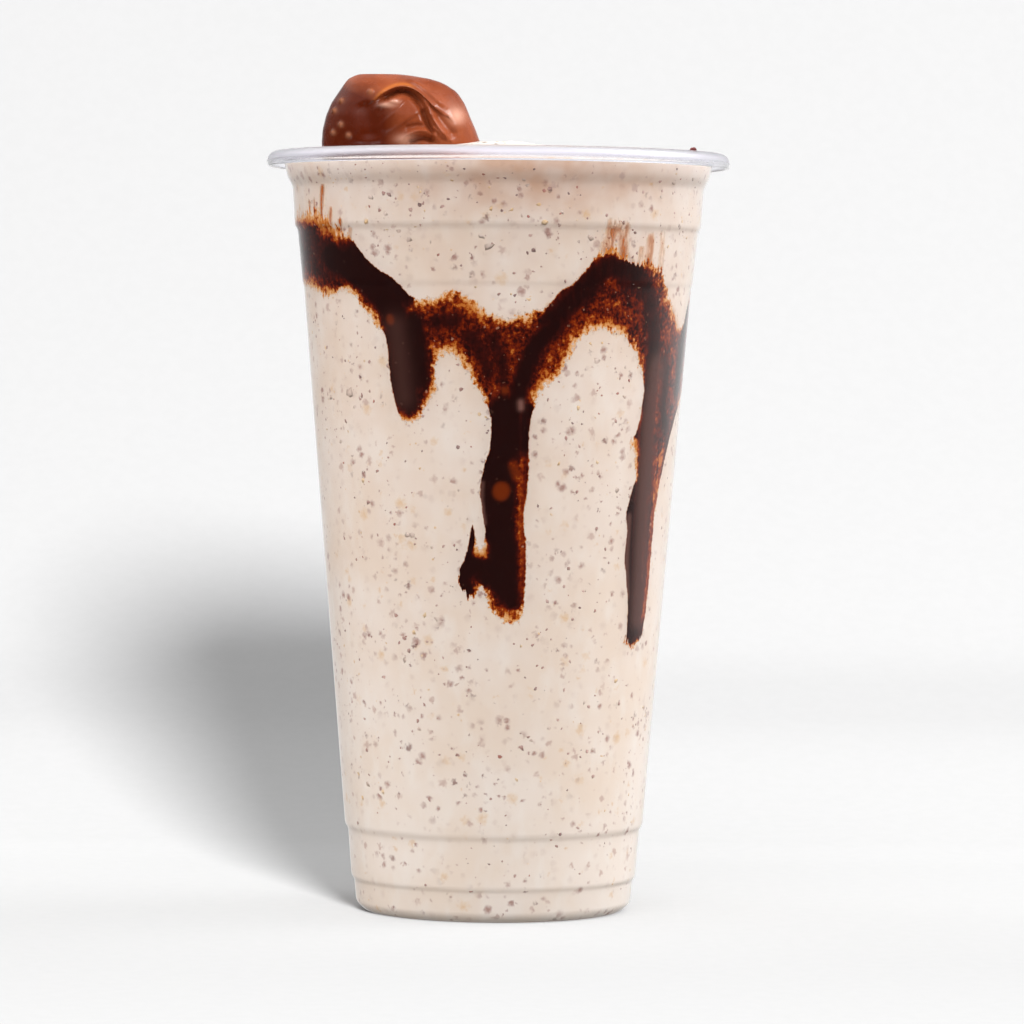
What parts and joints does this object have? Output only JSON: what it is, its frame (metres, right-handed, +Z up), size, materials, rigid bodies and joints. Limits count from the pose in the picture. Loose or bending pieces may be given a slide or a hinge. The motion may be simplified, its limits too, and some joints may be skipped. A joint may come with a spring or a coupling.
{
  "type": "milkshake",
  "caption": "Milkshake in a clear plastic tumbler with a curled rim, chocolate syrup run down inside the wall and a chocolate bonbon standing in the top.",
  "frame": {"origin": "centre of the tumbler's base, on the surface that it stands on", "axes": "+Z up along the tumbler's axis, the shown side faces -Y, and the bonbon is on the -X side of the top"},
  "size_m": [0.095, 0.095, 0.1719],
  "materials": {
    "clear_plastic": "clear and glossy",
    "milkshake": "smooth and creamy with fine dark specks",
    "chocolate_syrup": "wet and glossy, amber where it is thin",
    "milk_chocolate": "satin"
  },
  "bodies": {
    "root": {"cup": "clear_plastic", "milkshake": "milkshake", "syrup_drizzle": "chocolate_syrup", "chocolate_bonbon": "milk_chocolate"}
  },
  "joints": []
}
